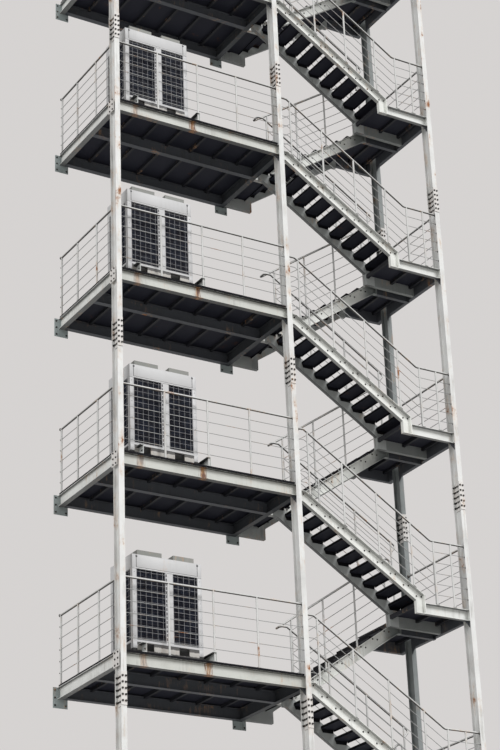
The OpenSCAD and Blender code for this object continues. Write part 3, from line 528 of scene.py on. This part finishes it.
# The inner and wall stringers have a darker paint, which is painted shade.
shaded_paint = weathered("shaded_paint", (0.34, 0.355, 0.35), 0.6, 0.4, 0.7, (0.16, 0.165, 0.165),
                         shine=0.3)
dress(shaded_paint, "front_inner_stringers", "back_wall_stringers")
riser, going, top_riser, back_riser = 0.170, 0.260, 0.105, 1.595 / 9
front_nose, back_nose = 3.678, 3.885
front_webs, back_webs = (0.019, 0.786), (1.014, 2.056)
bolt_drop, bolt_gauge, front_bolt_in, back_bolt_in = 0.045, 0.1, 0.095, 0.085
heads = []


def web_bolts(x, webs, z):
    """A bolt head on each stringer's face that looks away from the treads."""
    heads.append(towards((x, webs[0], z), (0.0, -1.0, 0.0)))
    heads.append(towards((x, webs[1], z), (0.0, 1.0, 0.0)))


for k in storeys:
    for n in range(10):
        z = k * storey - top_riser - riser * n - bolt_drop
        for shift in (0.0, -bolt_gauge):
            web_bolts(front_nose + going * n - front_bolt_in + shift, front_webs, z)
    for n in range(8):
        z = (k - 1) * storey + back_riser * (n + 1) - bolt_drop
        for shift in (0.0, bolt_gauge):
            web_bolts(back_nose + going * n + back_bolt_in + shift, back_webs, z)
piece("tread_bolts", copies(hexagon_head(0.022, 0.010, 0.015), heads), bolt_steel, "paint")

# The guards are bent from steel tube with five round rods under the rail. Posts stand on small plates,
# each held by two bolts, and every bar that meets a column or the wall ends in a collar.
# Undersides of the rails and posts are darkened as painted shade.
guard_paint = weathered("guard_paint", (0.56, 0.56, 0.55), 0.45, 0.65, 0.95, (0.23, 0.23, 0.22),
                        shade=(0.030, 0.026, 0.024), under_from=0.12)
guard_out, well_front, well_back = -0.035, 0.8175, 0.9825
rail_h, landing_rail_h, front_rail_h, well_rail_h = 1.22, 1.19, 1.12, 1.18
rail_r, rod_r, post_r, rod_pitch, rod_count = 0.019, 0.0060, 0.017, 0.2, 5
plate_t, splice_reach = 0.008, 0.308
rods = bmesh.new()
plates, collars, rod_ends = [], [], []


def post(shape, at, s, foot, top, slope=0.0):
    """An upright tube from a foot plate, which lies on the slope, up to the rail."""
    base = at(s, foot)
    along = (at(s + 1.0, foot + slope) - base).normalized()
    side = Vector((0.0, 0.0, 1.0)).cross(along).normalized()
    turned = Matrix((along, side, along.cross(side))).transposed().to_4x4()
    plates.append(Matrix.Translation(base) @ turned)
    tube(shape, [base + Vector((0.0, 0.0, plate_t / 2)), at(s, top)], post_r)


def bar(shape, k, line, bend=0.0):
    """The rail, or the rod k places under it, which lies with the rods of all the guards."""
    if k:
        tube(rods, line, rod_r, bend, 8)
    else:
        tube(shape, line, rail_r, bend, 16)


def bars(shape, at, line, level, first_levels=(), last_levels=()):
    """Rail and rods along a line, cut short where a splice covers the column they meet."""
    for k in range(rod_count + 1):
        points = [[s, z - rod_pitch * k] for s, z in line]
        for end, levels, way in ((0, first_levels, 1.0), (-1, last_levels, -1.0)):
            height = level + points[end][1]
            if any(abs(height - splice) < splice_reach for splice in levels):
                points[end][0] += way * splice_t
        bar(shape, k, [at(s, z) for s, z in points], 0.07)
        for end, way in ((0, 1.0), (-1, -1.0)):
            s, z = points[end]
            (rod_ends if k else collars).append(towards(at(s, z), at(s + way, z) - at(s, z)))


def in_front(y, level):
    return lambda s, z: Vector((s, y, level + z))


def at_side(x, level):
    return lambda s, z: Vector((x, s, level + z))


shape = bmesh.new()
for k in storeys:
    at = in_front(guard_out, k * storey)
    bars(shape, at, [(left_x + half_web, rail_h), (middle_x - half_web, rail_h)], k * storey,
         left_splices, left_splices)
    for x in (0.86, 1.69, 2.52):
        post(shape, at, x, 0.0, rail_h)
piece("platform_front_rails", shape, guard_paint, "guard", "platform_front_guards")

# On the platform's left the guard runs back to the wall. Its last post has no plate and is welded to
# the deck's back lip.
end_post_y, end_post_foot = 2.135, -0.006
shape = bmesh.new()
for k in storeys:
    at = at_side(left_x, k * storey)
    bars(shape, at, [(half_depth, rail_h), (wall_y, rail_h)], k * storey, left_splices)
    for y in (0.7417, 1.4973):
        post(shape, at, y, 0.0, rail_h)
    tube(shape, [at(end_post_y, end_post_foot), at(end_post_y, rail_h)], post_r)
piece("platform_left_rails", shape, guard_paint, "guard", "platform_left_guards")


# Beside the flights the rails keep the slope of the noses. The front one runs on level round the
# landing.
def front_noses(x):
    return -top_riser - (x - front_nose) * riser / going


def back_noses(x):
    return back_riser + (x - back_nose) * back_riser / going


landing_drop, nosing_rise, first_post_x, post_step = 1.805, 0.067, 3.688, 0.69
landing_rail, short_rail, knees = landing_rail_h - landing_drop, 1.052, (3.621, 6.171)
shape = bmesh.new()
for k in storeys:
    at = in_front(guard_out, k * storey)
    bars(shape, at, [(middle_x + half_web, short_rail), (knees[0], short_rail),
                     (knees[1], landing_rail), (right_x - half_web, landing_rail)],
         k * storey, left_splices, right_splices)
    for n in range(4):
        x = first_post_x + post_step * n
        post(shape, at, x, front_noses(x) - nosing_rise, front_noses(x) + front_rail_h, -riser / going)
    for x in (6.231, 6.604):
        post(shape, at, x, -landing_drop, landing_rail)
piece("flight_front_rails", shape, guard_paint, "guard", "flight_front_guards")

# In the well one tube serves both flights: it comes up beside the front one, turns round at the
# platform, and goes on up beside the back one, with its ends bent down.
shape = bmesh.new()
for level in range(7):
    base = level * storey
    down = [(5.923, -0.583), (6.028, -0.4615), (3.632, 1.105), (3.500, 1.105)]
    climb = [(3.500, 1.100), (5.905, back_noses(5.905) + well_rail_h), (5.985, 2.734), (5.985, 2.544)]
    front, back = in_front(well_front, base), in_front(well_back, base)
    if level == 0:
        climb[0] = (3.482, 1.085)
    line = [front(*p) for p in down] * (level > 0) + [back(*p) for p in climb] * (level < 6)
    tube(shape, line, rail_r, 0.05, 16)
    flights = []
    if level > 0:
        flights.append((front, front_noses, 3.698, 5.923, -riser / going))
    if level < 6:
        flights.append((back, back_noses, 3.825, 5.845, back_riser / going))
    for k in range(1, rod_count + 1):
        for at, noses, first, last, slope in flights:
            bar(shape, k, [at(x, noses(x) + well_rail_h - rod_pitch * k) for x in (first, last)])
    for n in range(4):
        for at, noses, first, last, slope in flights:
            x = first + n * (last - first) / 3
            post(shape, at, x, noses(x) - nosing_rise, noses(x) + well_rail_h, slope)
piece("well_rails", shape, guard_paint, "guard", "flight_inner_guards", "flight_back_guards")

# A short guard closes the right side of each half landing, and another the end of the top platform.
shape = bmesh.new()
for k in storeys:
    level = k * storey - landing_drop
    at = at_side(right_x, level)
    bars(shape, at, [(half_depth, landing_rail_h), (rear_column_y - half_depth, landing_rail_h)],
         level, right_splices, right_splices)
    post(shape, at, 0.905, 0.0, landing_rail_h)
piece("landing_side_rails", shape, guard_paint, "guard", "landing_side_guards")
shape = bmesh.new()
at = at_side(middle_x, 6 * storey)
for k in range(rod_count + 1):
    bar(shape, k, [at(y, rail_h - rod_pitch * k) for y in (0.8175, 2.08)])
for y in (0.8375, 1.4488, 2.06):
    post(shape, at, y, 0.0, rail_h)
piece("top_end_rails", shape, guard_paint, "guard", "top_end_guard")
# The rods' undersides are darkened as painted shade.
rod_paint = weathered("rod_paint", (0.33, 0.335, 0.335), 0.45, 0.7, 0.4, (0.17, 0.17, 0.165))
piece("guard_rods", rods, rod_paint, "guard")


# A post's foot is a small plate with a weld round the post, on two bolts. The collars are pressed
# steel, wide ones on the rails and narrow ones on the rods.
def block(shape, middle, size):
    return bmesh.ops.create_cube(shape, size=1.0, matrix=Matrix.Translation(middle)
                                 @ Matrix.Diagonal((*size, 1.0)))["verts"]


weld_h, foot_gauge = 0.007, 0.026
shape = bmesh.new()
block(shape, (0.0, 0.0, plate_t / 2), (0.070, 0.050, plate_t))
bmesh.ops.bevel(shape, geom=[e for e in shape.edges], offset=0.002, segments=1, profile=0.5,
                affect="EDGES", material=-1)
bmesh.ops.create_cone(shape, cap_ends=False, segments=12, radius1=0.023, radius2=0.016, depth=weld_h,
                      matrix=Matrix.Translation((0.0, 0.0, plate_t + weld_h / 2)))
piece("post_plates", copies(shape, plates), guard_paint, "guard")
piece("post_bolts", copies(hexagon_head(0.014, 0.007, 0.010), [
    plate @ Matrix.Translation((side, 0.0, plate_t)) for plate in plates
    for side in (-foot_gauge, foot_gauge)]), bolt_steel, "guard")


def collar(radius, length):
    shape = bmesh.new()
    bmesh.ops.create_cone(shape, cap_ends=True, segments=14, radius1=radius, radius2=radius,
                          depth=length, matrix=Matrix.Translation((0.0, 0.0, length / 2)))
    rim = [e for e in shape.edges if all(v.co.z > length * 0.9 for v in e.verts)]
    bmesh.ops.bevel(shape, geom=rim, offset=length * 0.3, segments=2, profile=0.5, affect="EDGES",
                    material=-1)
    return shape


piece("rail_collars", copies(collar(0.030, 0.008), collars), bolt_steel, "guard")
piece("rod_collars", copies(collar(0.015, 0.016), rod_ends), bolt_steel, "guard")

# On each platform stands a condensing unit with two fans on top: a cabinet of folded sheet, powder
# coated off white. Its corner posts run down as legs, and its band and doors are separate sheets with
# fine joints.
casing_paint = weathered("casing_paint", (0.53, 0.53, 0.535), 0.14, 0.1)
dress(casing_paint, "condenser_cabinets")
hood_grey = weathered("hood_grey", (0.20, 0.205, 0.19), 0.5, 0.2)
dress(hood_grey, "condenser_fan_hoods")
unit_left, unit_right, unit_front, unit_back, unit_top = 0.275, 1.557, 0.100, 0.860, 1.685
sheet, unit_post, lap, inset = 0.0025, 0.075, 0.01, 0.004
sheet_low, sheet_high, band_low, lip_low, lip_high = 0.255, 1.677, 1.469, 1.440, 1.461


def slab(shape, low, high, edge=0.002, segments=2):
    """Box between two corners with rounded edges."""
    low, high = Vector(low), Vector(high)
    made = block(shape, (low + high) / 2, high - low)
    edges = list({e for v in made for e in v.link_edges})
    bmesh.ops.bevel(shape, geom=edges, offset=edge, segments=segments, profile=0.5, affect="EDGES",
                    material=-1)


def on_each_platform(name, shape, material, slot, *stands_for):
    places = [Matrix.Translation((0.0, 0.0, k * storey)) for k in storeys]
    return piece(name, copies(shape, places), material, slot, *stands_for)


shape = bmesh.new()
slab(shape, (unit_left + 0.081, unit_front - sheet, band_low),
     (unit_right - 0.081, unit_front + lap, sheet_high))
slab(shape, (unit_left + inset, unit_front - 0.006, lip_low),
     (unit_right - inset, unit_front + inset, lip_high), 0.0015)
slab(shape, (unit_left - sheet, unit_front + inset, 1.452),
     (unit_left + lap, unit_back - inset, sheet_high))
for x in (unit_left, unit_right - unit_post):
    for low, high in ((sheet_low, 1.434), (1.464, sheet_high), (0.108, 0.207)):
        slab(shape, (x + 0.003, unit_front - sheet, low),
             (x + unit_post - 0.003, unit_front + lap, high))
slab(shape, (0.947, unit_front - 0.002, sheet_low), (0.955, unit_front + inset, lip_low), 0.001)
for y0, y1 in ((unit_front + inset, 0.470), (0.476, unit_back - inset)):
    for low, high in ((sheet_low, 1.240), (1.246, sheet_high)):
        slab(shape, (unit_right - lap, y0, low), (unit_right + sheet, y1, high))
for x0, x1 in ((unit_left + inset, 0.700), (0.706, 1.130), (1.136, unit_right - inset)):
    slab(shape, (x0, unit_back - lap, sheet_low), (x1, unit_back + sheet, sheet_high))
slab(shape, (unit_left + inset, unit_front + inset, unit_top - inset),
     (unit_right - inset, unit_back - inset, unit_top + sheet))
on_each_platform("unit_sheets", shape, casing_paint, "unit_casing")

# Behind the wire stand the coils: close aluminium fins pressed on rows of tube, blackened with dust.
# Two face the front, and a third the left side.
coil_black = Finish("coil_black")
at = coil_black.place()
dust = coil_black.noise(at, 7.0, 5.0, 0.6)
coil_black = coil_black.surface(coil_black.node("BsdfPrincipled", {}, {
    "Base Color": coil_black.mix(dust.rising(0.38, 0.68), (0.010, 0.012, 0.026),
                                 (0.034, 0.046, 0.080)),
    "Roughness": dust * 0.3 + 0.35, "Metallic": 0.3}))
coil_low, coil_high, fin_deep, fin_t = 0.249, 1.444, 0.022, 0.002
coil_middle, fin_h = (coil_low + coil_high) / 2, coil_high - coil_low - 0.002
fronts = ((0.350, 0.884), (1.018, 1.482))
shape = bmesh.new()
for x0, x1 in fronts:
    slab(shape, (x0 + 0.001, 0.140, coil_low), (x1 - 0.001, 0.159, coil_high))
    count = round((x1 - x0) / 0.014)
    for n in range(count):
        block(shape, (x0 + (n + 0.5) * (x1 - x0) / count, 0.130, coil_middle),
              (fin_t, fin_deep, fin_h))
slab(shape, (0.315, 0.176, coil_low), (0.334, 0.784, coil_high))
for n in range(43):
    block(shape, (0.305, 0.183 + n * 0.01405, coil_middle), (fin_deep, fin_t, fin_h))
on_each_platform("unit_coils", shape, coil_black, "unit_wire")
shape = bmesh.new()
for x0, x1 in fronts:
    for n in range(22):
        z = 0.28 + n * 0.053
        tube(shape, [(x0 + 0.004, 0.134, z), (x1 - 0.004, 0.134, z)], 0.005, 0.0, 6)
copper = weathered("copper", (0.055, 0.036, 0.036), 0.5, 0.1, 0.0, (0.03, 0.03, 0.035))
on_each_platform("unit_coil_tubes", shape, copper, "unit_wire")

# A welded grid of white coated wire keeps hands off the coils. Its meshes are a hundred millimetres
# wide, in a frame of thicker wire.
wire_white = weathered("wire_white", (0.37, 0.37, 0.385), 0.35, 0.15)
wire_r, grid_low, grid_high = 0.0023, 0.256, 1.442
wire_levels = [0.291 + n * 0.1007 for n in range(12)]
shape = bmesh.new()


def wire(first, last, radius=wire_r, sides=6):
    tube(shape, [first, last], radius, 0.0, sides)


for (x0, x1), uprights in zip(fronts, ((0.426, 0.528, 0.630, 0.732, 0.834),
                                       (1.118, 1.219, 1.325, 1.429))):
    x0, x1 = x0 + 0.006, x1 - 0.006
    edge = [(x0, 0.104, grid_low), (x1, 0.104, grid_low), (x1, 0.104, grid_high),
            (x0, 0.104, grid_high)]
    for corner, following in zip(edge, edge[1:] + edge[:1]):
        wire(corner, following, 0.004, 8)
    for x in uprights:
        wire((x, 0.106, grid_low), (x, 0.106, grid_high))
    for z in wire_levels:
        wire((x0, 0.102, z), (x1, 0.102, z))
for z in wire_levels:
    wire((0.277, 0.178, z), (0.277, 0.782, z))
for n in range(6):
    wire((0.281, 0.230 + n * 0.1, 0.252), (0.281, 0.230 + n * 0.1, 1.446))
on_each_platform("unit_wire_guards", shape, wire_white, "unit_wire", "condenser_fan_guards")

# A column of short louvres vents the stile between the coils, drawn as dark blocks whose black is the
# painted shade in their slots, and dark clips hold the band's upper corners. Dark joints part the
# sheets, screws with round heads hold them, and the doors at the right end have two pulls.
screw_in = 0.037
shape = bmesh.new()
for n in range(16):
    z = 0.290 + n * 0.072
    slab(shape, (0.889, unit_front - 0.004, z), (0.908, unit_front + 0.002, z + 0.048), 0.0015, 1)
for x in (unit_left + 0.0735, unit_right - 0.0815):
    slab(shape, (x, unit_front - 0.003, 1.463), (x + 0.008, unit_front + 0.002, sheet_high), 0.001, 1)
    slab(shape, (x - 0.010, unit_front - 0.006, 1.634), (x + 0.022, unit_front + 0.002, 1.664),
         0.002, 1)
# The lower strip, at the cabinet's foot, is a painted shadow under its base; the upper one is a joint.
for z in (0.2055, 1.4615):
    slab(shape, (unit_left + 0.076, unit_front - 0.003, z),
         (unit_right - 0.076, unit_front + 0.002, z + 0.007), 0.001, 1)
for y in (0.400, 0.540):
    slab(shape, (unit_right - 0.002, y, 0.700), (unit_right + 0.006, y + 0.030, 0.820), 0.003)


def screw(place, axis):
    bmesh.ops.create_cone(shape, cap_ends=True, segments=10, radius1=0.007, radius2=0.004,
                          depth=0.005, matrix=towards(place, axis))


for x in (unit_left + screw_in, unit_right - screw_in):
    for z in (0.300, 0.700, 1.000, 1.380):
        screw((x, unit_front - 0.004, z), (0.0, -1.0, 0.0))
for y in (0.130, 0.440, 0.506, 0.830):
    for z in (0.300, 0.750, 1.200, 1.290, 1.640):
        screw((unit_right + 0.004, y, z), (1.0, 0.0, 0.0))
dark_trim_and_shade = weathered("dark_trim_and_shade", (0.05, 0.05, 0.055), 0.3, 0.3, 0.0, (0.12, 0.115, 0.105))
on_each_platform("unit_louvres_and_clips", shape, dark_trim_and_shade, "unit_casing")

# In each hood on top turns a fan. A plate with a round mouth lies over it, under a cage of rings and
# spokes.
hoods = ((0.390, 0.844), (1.058, 1.442))
mouth_y, mouth_z, throat_deep, mouth_half_d = 0.480, 1.772, 0.062, 0.338
brim, hub_drop, ring_count, spoke_count, blade_count = 0.045, 0.040, 7, 12, 5
mouths, cages, fans = bmesh.new(), bmesh.new(), bmesh.new()


def outward(angle, reach, rise):
    return Vector((math.cos(angle) * reach, math.sin(angle) * reach, rise))


def drawn_out(edges):
    """Extrudes the mouths' edges in place and gives the new vertices."""
    made = bmesh.ops.extrude_edge_only(mouths, edges=edges)["geom"]
    return [v for v in made if isinstance(v, bmesh.types.BMVert)]


for x0, x1 in hoods:
    centre = Vector(((x0 + x1) / 2, mouth_y, mouth_z))
    radius = (x1 - x0) / 2 - brim
    rim = bmesh.ops.create_circle(mouths, cap_ends=False, segments=48, radius=radius,
                                  matrix=Matrix.Translation(centre))["verts"]
    for v in drawn_out(list({e for v in rim for e in v.link_edges})):
        away = (v.co - centre) / radius
        reach = min((x1 - x0 - 0.004) / 2 / max(abs(away.x), 1e-6),
                    mouth_half_d / max(abs(away.y), 1e-6))
        v.co = centre + away * reach
    lips = [e for e in mouths.edges
            if e.is_boundary and e.verts[0] in rim and e.verts[1] in rim]
    bmesh.ops.translate(mouths, verts=drawn_out(lips), vec=(0.0, 0.0, -throat_deep))
    for ring in range(1, ring_count + 1):
        points = [centre + outward(math.radians(n * 15), radius * ring / ring_count + 0.004, 0.010)
                  for n in range(25)]
        tube(cages, points, 0.0025, 0.003, 6)
    for n in range(spoke_count):
        angle = math.radians(n * 360 / spoke_count)
        tube(cages, [centre + outward(angle, 0.03, 0.005),
                     centre + outward(angle, radius + 0.006, 0.005)], 0.0035, 0.0, 6)
    hub = Matrix.Translation(centre - Vector((0.0, 0.0, hub_drop)))
    bmesh.ops.create_cone(fans, cap_ends=True, segments=20, radius1=0.055, radius2=0.045, depth=0.05,
                          matrix=hub)
    for n in range(blade_count):
        bmesh.ops.create_grid(fans, x_segments=4, y_segments=3, size=0.5, matrix=(
            hub @ Matrix.Rotation(math.radians(n * 360 / blade_count), 4, "Z")
            @ Matrix.Translation((radius * 0.56, 0.0, 0.0))
            @ Matrix.Rotation(math.radians(28), 4, "X")
            @ Matrix.Diagonal((radius * 0.78, radius * 0.62, 1.0, 1.0))))
bmesh.ops.solidify(fans, geom=fans.faces[:], thickness=0.002)
bmesh.ops.solidify(mouths, geom=mouths.faces[:], thickness=0.002)
on_each_platform("unit_fan_mouths", mouths, hood_grey, "unit_casing")
on_each_platform("unit_fan_cages", cages, wire_white, "unit_wire")
on_each_platform("unit_fans", fans, dark_trim_and_shade, "unit_casing")

# The unit stands on its legs in rubber boots, with pale channels between them that have slots for
# lifting. The channels are painted black in a band under the cabinet, which is painted shade, and in a
# band along their foot.
stand_paint = weathered("stand_paint", (0.50, 0.48, 0.45), 0.4, 0.8,
                        shade_and_foot_bands=((0.155, 0.24, 0.9), (-0.1, 0.083, 0.93)))
dress(stand_paint, "condenser_rails")
rubber = Finish("rubber")
grain = rubber.noise(rubber.place(), 60.0, 4.0, 0.6)
rubber = rubber.surface(rubber.node("BsdfPrincipled", {}, {
    "Base Color": rubber.mix(grain.rising(0.4, 0.7), (0.018, 0.018, 0.019), (0.045, 0.043, 0.040)),
    "Roughness": grain * 0.2 + 0.7, "Normal": rubber.bump(grain, 0.001, 0.5)}))
dress(rubber, "condenser_pads")
boot_low, boot_high = 0.013, 0.108
shape = bmesh.new()
for x in (unit_left, unit_right - unit_post):
    for y in (unit_front, unit_back - unit_post):
        slab(shape, (x - 0.003, y - 0.003, boot_low),
             (x + unit_post + 0.003, y + unit_post + 0.003, boot_high), 0.006)
on_each_platform("unit_boots", shape, rubber, "rubber")

# Two lengths of channel lie from front to back: a short one that stops at the unit's front channel,
# and a long one beside its right end. They are cut off flush with the deck's edge, open to the left
# and welded to the deck, and a bolt through the web holds each.
# The undersides of the top legs are darkened as painted shade.
cleat_paint = weathered("cleat_paint", (0.58, 0.60, 0.585), 0.4, 0.6, 1.0,
                        shade=(0.030, 0.031, 0.033))
bearer_front, bearer_h, bearer_w, web_t, leg_t = -0.069, 0.161, 0.075, 0.007, 0.008
shape = bmesh.new()
heads = []
for x, back in ((0.434, 0.096), (1.711, 0.850)):
    slab(shape, (x - web_t, bearer_front, 0.001), (x, back, bearer_h), 0.0015, 1)
    for z in (0.001, bearer_h - leg_t):
        slab(shape, (x - bearer_w, bearer_front, z), (x, back, z + leg_t), 0.002, 1)
    heads.append(towards((x - web_t, -0.020, 0.070), (-1.0, 0.0, 0.0)))
on_each_platform("unit_bearers", shape, cleat_paint, "unit_rail")
on_each_platform("unit_bearer_bolts", copies(hexagon_head(0.024, 0.011, 0.018), heads), bolt_steel,
                 "unit_rail")
